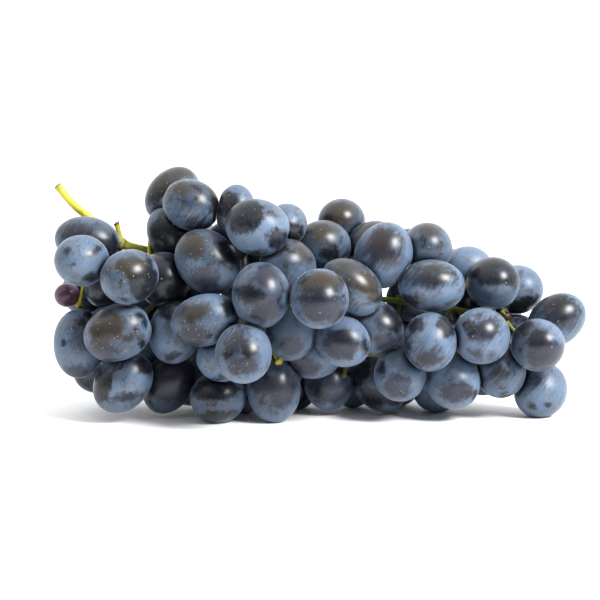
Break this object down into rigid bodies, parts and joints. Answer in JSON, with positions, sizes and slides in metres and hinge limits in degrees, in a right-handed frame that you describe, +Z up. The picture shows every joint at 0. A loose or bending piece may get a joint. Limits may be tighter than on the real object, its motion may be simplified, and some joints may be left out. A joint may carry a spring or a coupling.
{
  "type": "bunch of grapes",
  "caption": "Bunch of dark oval table grapes with bluish bloom, lying on its side, its bare green stalk at one end and tapering to the tip.",
  "frame": {"origin": "on the surface that the bunch lies on, under the middle of its box", "axes": "+Z up; +X along the bunch from its stalk to its tip; the side seen from the front faces -Y"},
  "size_m": [0.211, 0.1003, 0.0986],
  "materials": {
    "berry_skin": "waxy bluish bloom over dark glossy skin, rubbed off in patches",
    "berry_red": "dull reddish purple skin with thin bloom",
    "stem": "fresh yellow-green, satin, brownish at nodes and cuts"
  },
  "bodies": {
    "root": {"stem": "stem", "berries_shoulder": "berry_skin", "berry_small_red": "berry_red", "berries_lower_left": "berry_skin", "berries_upper_left": "berry_skin", "berries_crown": "berry_skin", "berries_top_middle": "berry_skin", "berries_top_right": "berry_skin", "berries_right": "berry_skin", "berries_tip": "berry_skin", "berries_front_centre": "berry_skin", "berries_front_left": "berry_skin", "berries_bottom_centre": "berry_skin", "berries_lower_middle": "berry_skin", "berries_lower_right": "berry_skin", "berries_back_1": "berry_skin", "berries_back_2": "berry_skin", "berries_back_3": "berry_skin", "berries_back_4": "berry_skin", "berries_back_5": "berry_skin", "berries_back_6": "berry_skin", "berries_back_7": "berry_skin", "berries_back_8": "berry_skin"}
  },
  "joints": []
}
